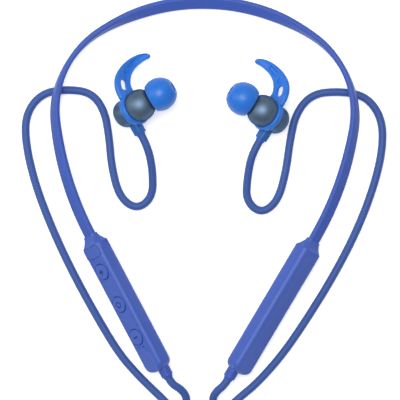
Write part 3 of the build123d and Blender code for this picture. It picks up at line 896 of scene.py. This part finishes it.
@dataclass
class Pod:
    """A pod's outer form: collar, shoulder, straight body, rounded end, lid and cord relief."""

    side: Side
    band: Neckband
    thick: float = 7.4
    width: float = 10.4
    corner: float = 2.2
    length: float = 61.0
    shoulder: float = 4.3
    collar: tuple[float, float, float] = (3.5, 6.6, 1.4)
    end_round: float = 3.8
    end_wall: float = 2.6
    wall: float = 1.2
    lid: float = 1.5
    groove: float = 0.12
    relief_length: float = 4.4
    relief_radius: float = 2.4
    relief_collar: float = 3.5
    relief_shift: float = 1.2
    roll: float = 46.0

    @property
    def place(self) -> Matrix:
        """The pod's frame."""
        return self.band.place(self.band.pod_at, self.side)

    @property
    def body(self) -> str:
        """The body that the pod rides on."""
        return f"{self.side.label}_arm"

    def ring(self, at: float, thick: float, width: float, corner: float) -> list[Vector]:
        """One ring of the outer form."""
        return [Vector((x, y, at)) for x, y in rounded_outline(thick, width, corner, 10)]

    def outer_form(self, name: str) -> bpy.types.Object:
        """The closed outer form."""
        t, w, c = self.collar
        rings = [self.ring(0, t - 0.5, w - 0.5, c - 0.2), self.ring(0.08, t - 0.15, w - 0.15, c - 0.05)]
        rings.append(self.ring(0.3, t, w, c))
        steps = 9
        for k in range(steps + 1):
            share = k / steps
            swell = share ** 1.25 * (1 - 0.10 * math.sin(math.pi * share))
            at = 0.75 + (self.shoulder - 0.75) * share
            rings.append(self.ring(at, t + (self.thick - t) * swell, w + (self.width - w) * swell,
                                   c + (self.corner - c) * swell))
        straight = 14
        round_from = self.length - self.end_round
        for k in range(1, straight + 1):
            at = self.shoulder + 0.25 + (round_from - self.shoulder - 0.25) * k / straight
            rings.append(self.ring(at, self.thick, self.width, self.corner))
        for k in range(1, 15):
            share = math.radians(90 * k / 14)
            at = round_from + self.end_round * math.sin(share)
            narrow = self.end_round * (1 - math.cos(share))
            rise = max(at - (self.length - self.corner), 0)
            thin = self.corner - math.sqrt(max(self.corner ** 2 - rise ** 2, 0))
            corner = min(self.corner, (self.width - 2 * narrow) / 2 - 0.1, (self.thick - 2 * thin) / 2 - 0.1)
            rings.append(self.ring(at, self.thick - 2 * thin, self.width - 2 * narrow, corner))
        return loft(name, rings, self.place)

    def box(self, low: Point, high: Point) -> bpy.types.Object:
        """A plain box in the pod's frame, used as a cutting tool."""
        outline = [(low[0], low[1]), (high[0], low[1]), (high[0], high[1]), (low[0], high[1])]
        return prism("tool", outline, low[2], high[2], self.place)

    def disc(self, radius: float, low: float, high: float, at: float, steps: int = 64) -> bpy.types.Object:
        """A cylinder that stands on the outer face, used as a cutting tool."""
        rings = []
        for x in (low, high):
            turns = [2 * math.pi * k / steps for k in range(steps)]
            rings.append([Vector((x, radius * math.cos(a), at + radius * math.sin(a))) for a in turns])
        return loft("tool", rings, self.place)

    def cutters(self) -> list[bpy.types.Object]:
        """What this pod's outer face is cut with; the plain pod has nothing."""
        return []

    def build_shell(self, palette: Palette) -> None:
        """Makes the shell and the lid on its hidden face."""
        shell = self.outer_form(f"{self.side.label}_pod_outer")
        lid_top = -self.thick / 2 + self.lid
        low, high = self.shoulder, self.length - self.shoulder
        g = self.groove
        tools = [self.box((-9, -9, low), (lid_top, 9, high))]
        far = (self.thick / 2 - self.wall, 4.0, self.length - self.end_wall)
        tools.append(self.box((lid_top - 0.2, -4.0, 5.2), far))
        hole = self.relief_radius + 0.04
        tools.append(lathe("tool", [(0, -4), (hole, -4), (hole, 1), (0, 1)], self.relief_frame()))
        pocket = rounded_outline(self.band.thick + 0.16, self.band.width + 0.16, self.band.corner + 0.05, 7)
        tools.append(prism("tool", pocket, -1, 5.4, self.place))
        tools += self.cutters()
        combine(shell, tools)
        soften_edges(shell, 0.11)
        hand_over(dress(shell, palette.pod), self.body, "pod_plastic", f"{self.side.label}_pod_shell")
        lid = self.outer_form(f"{self.side.label}_pod_back")
        combine(lid, [self.box((-9, -9, low + g), (lid_top - g, 9, high - g))], "INTERSECT")
        soften_edges(lid, 0.14)
        hand_over(dress(lid, palette.pod), self.body, "pod_plastic", f"{self.side.label}_pod_lid")

    def relief_frame(self) -> Matrix:
        """The cord relief's frame, with +Z along the cord."""
        roll = math.radians(self.roll)
        across, along = math.cos(roll), math.sin(roll)
        shift = Vector((-self.relief_shift * across, self.relief_shift * along, self.length))
        return self.place @ Matrix.Translation(shift)

    def build_relief(self, palette: Palette) -> list[bpy.types.Object]:
        """Makes the tapered relief, with its collar and ribs."""
        place = self.relief_frame()
        end, collar, r = self.relief_length, self.relief_collar, self.relief_radius
        profile = [(CORD_BORE, -2.3), (r, -2.3), (r, collar - 0.35)]
        profile += arc((r - 0.3, collar - 0.3), (0.3, 0.3), 0, 90, 5)
        profile += [(2.0, collar), (1.94, collar + 0.15), (1.80, end - 0.1), (1.74, end), (CORD_BORE, end)]
        sleeve = lathe(f"{self.side.label}_cord_relief", profile, place)
        hand_over(dress(smooth(sleeve, 40), palette.relief),
                  self.body, "cord_sleeve", f"{self.side.label}_pod_relief")
        ribs = relief_ribs(f"{self.side.label}_relief_ribs", place @ Matrix.Scale(1 / MM, 4), palette.relief)
        hand_over(ribs, self.body, "cord_sleeve")
        return [sleeve, ribs]


@dataclass
class ControlPod(Pod):
    """The left pod, with its keys, its charging port and its microphone hole."""

    keys: Sequence[tuple[str, float, Symbol]] = (
        ("volume_up", 15.4, Symbol.PLUS), ("call", 30.1, Symbol.RING), ("volume_down", 44.8, Symbol.MINUS))
    key_radius: float = 3.2
    key_gap: float = 0.34
    key_proud: float = 0.38
    sign_depth: float = 0.28
    port_at: float = 6.8
    cover: tuple[float, float, float] = (1.0, 8.4, 4.8)
    microphone_at: float = 49.4

    def cover_outline(self, grow: float) -> list[Pair]:
        """The port cover's outline across and along the pod, grown all round."""
        _, width, length = self.cover
        outline = rounded_outline(width + 2 * grow, length + 2 * grow, 1.0 + grow, 8)
        return [(y, z + self.port_at) for y, z in outline]

    def slab(self, name: str, outline: Sequence[Pair], low: float, high: float) -> bpy.types.Object:
        """An outline on the outer face pushed between two distances from the pod's middle."""
        rings = [[Vector((x, y, z)) for y, z in outline] for x in (low, high)]
        return loft(name, rings, self.place)

    def cutters(self) -> list[bpy.types.Object]:
        """The key wells, the port's recess and slot, and the microphone hole."""
        face = self.thick / 2
        tools = [self.disc(self.key_radius + self.key_gap, 0, face + 1, at) for _, at, _ in self.keys]
        tools.append(self.slab("tool", self.cover_outline(0.11), face - 1.1, face + 1))
        tools.append(self.box((0.5, -3.75, self.port_at - 1.45), (face - 0.5, 3.75, self.port_at + 1.45)))
        hole = self.disc(0.48, 0, face + 1, self.microphone_at, 28)
        hole.data.transform(Matrix.Translation(self.place.to_3x3() @ Vector((0, 1.0, 0))))
        tools.append(hole)
        return tools

    def sign(self, symbol: Symbol, at: float) -> list[bpy.types.Object]:
        """The tools that press a key's sign into its top."""
        top = self.thick / 2 + self.key_proud
        low, high = top - self.sign_depth, top + 0.5
        bar = rounded_outline(2.4, 0.6, 0.28, 5)
        if symbol is Symbol.RING:
            rings = []
            steps = 48
            for k in range(steps):
                a = 2 * math.pi * k / steps
                rings.append([Vector((x, r * math.cos(a), at + r * math.sin(a)))
                              for x, r in ((low, 0.85), (high, 0.85), (high, 1.3), (low, 1.3))])
            return [loft("tool", rings, self.place, closed=True)]
        tools = [self.slab("tool", [(y, z + at) for y, z in bar], low, high)]
        if symbol is Symbol.PLUS:
            tools.append(self.slab("tool", [(z, y + at) for y, z in reversed(bar)], low, high))
        return tools

    def colour_sign(self, key: bpy.types.Object, material: bpy.types.Material,
                    level: float, at: float) -> None:
        """Paints shade on the floor of the pressed sign by giving it a darker finish.

        Args:
            key: The key, with its sign cut.
            material: The darker finish that paints shade on the sign's floor.
            level: Faces of the sign below this height are darkened.
            at: The key's place along the pod.
        """
        key.data.materials.append(material)
        local = self.place.inverted()
        for face in key.data.polygons:
            here = local @ face.center
            if level - 0.3 < here.x < level and math.hypot(here.y, here.z - at) < 1.7:
                face.material_index = 1

    def build_keys(self, palette: Palette) -> None:
        """Makes the three keys, each with its flange, its stem and its sign."""
        top = self.thick / 2 + self.key_proud
        inside = self.thick / 2 - self.wall - 0.1
        to_face = Matrix(((0, 0, 1, 0), (0, 1, 0, 0), (-1, 0, 0, 0), (0, 0, 0, 1)))
        for name, at, symbol in self.keys:
            profile = [(0, 0.62), (1.0, 0.62), (1.0, inside - 0.65), (3.8, inside - 0.65), (3.8, inside)]
            profile += [(self.key_radius, inside), (self.key_radius, top - 0.34)]
            profile += arc((self.key_radius - 0.34, top - 0.34), (0.34, 0.34), 15, 90, 6)
            profile += [(1.9, top + 0.05), (0, top + 0.07)]
            place = self.place @ Matrix.Translation((0, 0, at)) @ to_face
            key = lathe(f"{name}_cap", profile, place, 80)
            combine(key, self.sign(symbol, at))
            smooth(key, 35)
            dress(key, palette.key)
            # The sign's floor gets painted shade: a darker finish in its recess.
            self.colour_sign(key, palette.sign, top - 0.6 * self.sign_depth, at)
            hand_over(key, f"{name}_button", "key_plastic", f"{name}_key")

    def build_cover(self, palette: Palette) -> None:
        """Makes the port cover, which sits almost level with the pod's face."""
        face = self.thick / 2
        cover = self.slab("charging_flap", self.cover_outline(0), face - 1.0, face + 0.02)
        soften_edges(cover, 0.18, segments=3)
        hand_over(dress(cover, palette.cover), "charging_cover", "cover_silicone", "port_cover")


@dataclass
class BatteryPod(Pod):
    """The right pod, plain outside."""


# ---------------------------------------------------------------- the earbuds


@dataclass
class Earbud:
    """An earbud: satin ball, domed rear, stem, silicone fin and tip."""

    side: Side
    ball_at: Point = (-26.0, 30.35, 11.0)
    right_shift: Point = (-3.0, -1.0, 0.0)
    azimuth: float = 30.0
    rise: float = 42.0
    nozzle_tilt: float = 32.0
    ball: float = 6.45
    waist: float = -1.9
    rear_radius: float = 5.6
    rear_end: float = -12.0
    rear_edge: float = 3.0
    nozzle: float = 2.6
    bore: float = 1.9
    nozzle_end: float = 13.0
    stem_at: float = -6.95
    stem_end: float = 9.9
    stem_relief_end: float = 10.7
    sleeve: tuple[float, float] = (5.68, 7.0)
    sleeve_span: Pair = (-2.05, -4.7)
    fin: Sequence[tuple[float, float, float, float]] = (
        (5.6, 0.3, 0.0, 8.8), (9.2, 0.0, 0.0, 8.4), (12.2, -1.5, 0.4, 7.5), (14.75, -4.45, 1.25, 5.8),
        (16.3, -7.9, 2.5, 4.6), (16.85, -11.2, 4.2, 3.8), (16.6, -13.6, 5.8, 2.9), (15.7, -15.3, 7.25, 1.7))
    slots: Sequence[tuple[float, float, float, float]] = (
        (1.4, 4.4, 3.0, -4.0), (2.6, 2.6, 1.7, 0.1), (3.95, 4.8, 1.5, 0.1))
    tip_middle: float = 9.1
    tip_radius: float = 6.7
    tip_nose: float = 7.1
    tip_mouth: float = 1.8

    @property
    def arm(self) -> str:
        """The body that the earbud rides on."""
        return f"{self.side.label}_arm"

    @property
    def place(self) -> Matrix:
        """The earbud's frame: +Z out of the ball, +X toward the fin."""
        a, r = math.radians(self.azimuth), math.radians(self.rise)
        out = Vector((math.cos(r) * math.cos(a), math.cos(r) * math.sin(a), math.sin(r)))
        fin_way = Vector((-math.sin(a), math.cos(a), 0))
        here = placing(Vector(self.ball_at) * MM, fin_way, out)
        if self.side is Side.LEFT:
            return here
        return Matrix.Translation(Vector(self.right_shift) * MM) @ Matrix.Diagonal((-1, 1, 1, 1)) @ here

    @property
    def nozzle_place(self) -> Matrix:
        """The nozzle's frame: +Z out of the nozzle."""
        return self.place @ Matrix.Rotation(math.radians(self.nozzle_tilt), 4, "X")

    def build_front(self, palette: Palette) -> None:
        """Makes the ball with its nozzle."""
        low = math.degrees(math.asin(self.waist / self.ball))
        inner = self.ball - 0.9
        inner_low = math.degrees(math.asin(self.waist / inner))
        outer = arc((0, 0), (self.ball, self.ball), low, 90, 40)
        hollow = arc((0, 0), (inner, inner), 90, inner_low, 24)
        ball = lathe(f"{self.side.label}_front_ball", outer + hollow, self.place, 96)
        end = self.nozzle_end
        n = self.nozzle
        tube = lathe("tool", [(0, 4.6), (n, 4.6), (n, end - 1.6), (n + 0.06, end - 1.3),
                              (n + 0.06, end - 0.7), (n - 0.1, end), (0, end)], self.nozzle_place)
        combine(ball, [tube], "UNION")
        b = self.bore
        bore = lathe("tool", [(0, 2.5), (b, 2.5), (b, end - 0.7), (b + 0.3, end - 0.7),
                              (b + 0.3, end + 2), (0, end + 2)], self.nozzle_place)
        combine(ball, [bore])
        hand_over(dress(smooth(ball, 40), palette.ball),
                  self.arm, "housing_metal", f"{self.side.label}_front_housing")
        at = self.nozzle_place @ Matrix.Scale(1 / MM, 4) @ Matrix.Translation((0, 0, (end - 0.45) * MM))
        grille = sound_grille(f"{self.side.label}_sound_grille", at, palette.steel)
        hand_over(grille, self.arm, "plated_steel", f"{self.side.label}_nozzle_mesh")

    def build_rear(self, palette: Palette) -> None:
        """Makes the domed rear, its turned cap and the stem."""
        r, end, edge = self.rear_radius, self.rear_end, self.rear_edge
        wall = 0.8
        profile = [(r - 0.12, self.waist - 0.06), (r, self.waist - 0.25), (r, end + edge)]
        profile += arc((r - edge, end + edge), (edge, edge), 0, -90, 16)
        profile += [(0, end), (0, end + wall)]
        profile += arc((r - edge, end + edge), (edge - wall, edge - wall), -90, 0, 10)
        profile += [(r - wall, self.waist - 0.06)]
        rear = lathe(f"{self.side.label}_rear_shell", profile, self.place, 96)
        hand_over(dress(smooth(rear, 40), palette.rear),
                  self.arm, "stem_plastic", f"{self.side.label}_rear_housing")
        face = end - 0.02
        cap = [(0, face - 0.06), (1.2, face - 0.05), (2.0, face - 0.02)]
        cap += arc((2.25, face + 0.12), (0.14, 0.14), -90, 0, 4) + [(2.39, end + 0.3), (0, end + 0.3)]
        disc = lathe(f"{self.side.label}_rear_disc", cap, self.place, 80)
        hand_over(dress(smooth(disc, 35), palette.rear),
                  self.arm, "rear_metal", f"{self.side.label}_rear_cap")
        at = self.place @ Matrix.Scale(1 / MM, 4) @ Matrix.Translation((0, 0, (end - 0.06) * MM))
        rings = cap_rings(f"{self.side.label}_cap_rings", at, palette.rear)
        hand_over(rings, self.arm, "rear_metal")
        self.build_stem(palette)

    def build_stem(self, palette: Palette) -> None:
        """Makes the flattened stem and the soft relief that the cord enters."""
        along = Matrix(((0, 0, -1, 0), (0, 1, 0, 0), (1, 0, 0, self.stem_at), (0, 0, 0, 1)))
        end = self.stem_end
        outlines = ((4.9, 4.0, 4.4, 1.0), (end - 0.35, 4.0, 4.2, 1.0), (end - 0.1, 3.85, 4.05, 0.95),
                    (end, 3.5, 3.7, 0.8))
        rings = [[Vector((x, y, z)) for x, y in rounded_outline(t, w, c, 8)] for z, t, w, c in outlines]
        stem = loft(f"{self.side.label}_stem", rings, self.place @ along)
        hand_over(dress(smooth(stem, 40), palette.stem), self.arm, "stem_plastic")
        boot = self.stem_relief_end
        profile = [(CORD_BORE, end - 1), (1.80, end - 1), (1.80, boot - 0.2), (1.72, boot),
                   (CORD_BORE, boot)]
        relief = lathe(f"{self.side.label}_stem_boot", profile, self.place @ along, 56)
        hand_over(dress(smooth(relief, 40), palette.relief),
                  self.arm, "cord_sleeve", f"{self.side.label}_stem_relief")

    def fin_ring(self, at: float) -> list[Vector]:
        """One ring of the fin's blade: beads along both edges and a thinner web between."""
        places = [Vector(s[:3]) for s in self.fin]
        tables = [[(k, s[axis]) for k, s in enumerate(self.fin)] for axis in range(4)]
        here = Vector([eased(table, at) for table in tables[:3]])
        step = 0.05
        low, high = max(at - step, 0), min(at + step, len(places) - 1)
        before = Vector([eased(table, low) for table in tables[:3]])
        after = Vector([eased(table, high) for table in tables[:3]])
        ahead = (after - before).normalized()
        across = ahead.cross(Vector((0, 0, 1))).normalized()
        up = across.cross(ahead).normalized()
        blunt = min((len(places) - 1 - at) / 0.5, 1)
        width = eased(tables[3], at) * max(math.sqrt(1 - (1 - blunt) ** 2), 0.3)
        middle = Vector((0, 0, sum(self.sleeve_span) / 2))
        taper = 0.55 + 0.45 * width / self.fin[0][3]
        shape = ((-0.50, 0.45), (-0.47, 0.90), (-0.38, 1.18), (-0.27, 1.14), (-0.20, 0.74), (0.0, 0.68),
                 (0.28, 0.70), (0.35, 0.98), (0.43, 0.96), (0.48, 0.66), (0.50, 0.34))
        top = [here + middle + across * (x * width) + up * (t * taper) for x, t in shape]
        low_side = [here + middle + across * (x * width) - up * (t * taper) for x, t in reversed(shape)]
        return top + low_side

    def build_fin(self, palette: Palette) -> None:
        """Makes the silicone sleeve with its curved, slotted fin."""
        count = 44
        last = len(self.fin) - 1
        blade = loft("tool", [self.fin_ring(last * k / count) for k in range(count + 1)], self.place)
        cuts = []
        for at, length, width, low in self.slots:
            ring = self.fin_ring(at)
            nearby = self.fin_ring(at + 0.1)
            here = sum(ring, Vector()) / len(ring)
            ahead = (sum(nearby, Vector()) / len(nearby) - here).normalized()
            across = ahead.cross(Vector((0, 0, 1))).normalized()
            up = across.cross(ahead)
            turn = Matrix((across, ahead, up)).transposed().to_4x4()
            outline = rounded_outline(width, length, min(width, length) * 0.46, 6)
            cuts.append(prism("tool", outline, low, 4, self.place @ Matrix.Translation(here) @ turn))
        outside = self.sleeve[1] - 0.3
        clear = lathe("tool", [(0, -9), (outside, -9), (outside, 6), (0, 6)], self.place)
        combine(blade, cuts + [clear])
        high, low = self.sleeve_span
        inner, outer = self.sleeve
        profile = [(inner, high), (outer - 0.35, high), (outer, high - 0.4), (outer, low + 0.4),
                   (outer - 0.35, low), (inner, low)]
        fin = lathe(f"{self.side.label}_silicone_fin", profile, self.place, 96)
        combine(fin, [blade], "UNION")
        melt(fin, 0.14, 6)
        hand_over(dress(fin, palette.ear),
                  f"{self.side.label}_fin", "ear_silicone", f"{self.side.label}_ear_fin")

    def build_tip(self, palette: Palette) -> None:
        """Makes the domed silicone tip, folded back round its core."""
        r, nose, mouth, skin, core = self.tip_radius, self.tip_nose, self.tip_mouth, 0.7, 3.4
        middle = (0, self.tip_middle)
        outer = arc(middle, (r, r), -34, 0, 10) + arc(middle, (r, nose), 5, 60, 12)
        outer += arc((2.55, 14.95), (0.75, 0.55), 50, 180, 8)
        step = self.nozzle_end + 0.3
        inner = [(mouth, step), (2.68, step), (2.68, 6.15), (core, 6.15), (core, 13.6)]
        inner += arc(middle, (r - skin, nose - skin), 50, -33, 14)
        tip = lathe(f"{self.side.label}_silicone_tip", outer + inner, self.nozzle_place, 96)
        hand_over(dress(smooth(tip, 50), palette.ear),
                  f"{self.side.label}_tip", "ear_silicone", f"{self.side.label}_ear_tip")


# ---------------------------------------------------------------- inside pieces


def dress_inside(palette: Palette) -> None:
    """Gives the pieces that stay as designed their finishes."""
    finishes = {
        "spring_core": palette.spring, "band_wires": palette.copper, "main_board": palette.board,
        "protection_board": palette.board, "bluetooth_chips": palette.chip, "antenna": palette.ceramic,
        "dome_switches": palette.steel, "microphone": palette.steel, "charging_socket": palette.steel,
        "battery_cell": palette.foil, "battery_foam": palette.foam, "rear_magnet": palette.magnet,
        "driver_frame": palette.steel, "driver_magnet": palette.magnet, "driver_diaphragm": palette.film,
    }
    for name, node in frame["nodes"].items():
        for part, material in finishes.items():
            if part in name:
                dress(node, material)
                LOG.info("%s keeps its shape", name)


def main() -> None:
    """Builds the earphones in order: studio, cords, band, pods, earbuds."""
    logging.basicConfig(level=logging.INFO)
    palette = Palette()
    studio = Studio()
    studio.set_camera()
    cords = [Cord(Side.LEFT, LEFT_ROUTE, 0.270), Cord(Side.RIGHT, RIGHT_ROUTE, 0.272)]
    laid = [cord.build(palette) for cord in cords]
    band = Neckband()
    pods = [ControlPod(Side.LEFT, band), BatteryPod(Side.RIGHT, band)]
    for cord, piece, pod in zip(cords, laid, pods):
        cord.declare(piece, pod.build_relief(palette))
    for side in Side:
        band.declare(side, band.build(side, palette))
    for pod in pods:
        pod.build_shell(palette)
    control = pods[0]
    control.build_keys(palette)
    control.build_cover(palette)
    for side in Side:
        earbud = Earbud(side)
        earbud.build_front(palette)
        earbud.build_rear(palette)
        earbud.build_fin(palette)
        earbud.build_tip(palette)
    dress_inside(palette)
    studio.light(palette.floor)


if __name__ == "__main__":
    main()
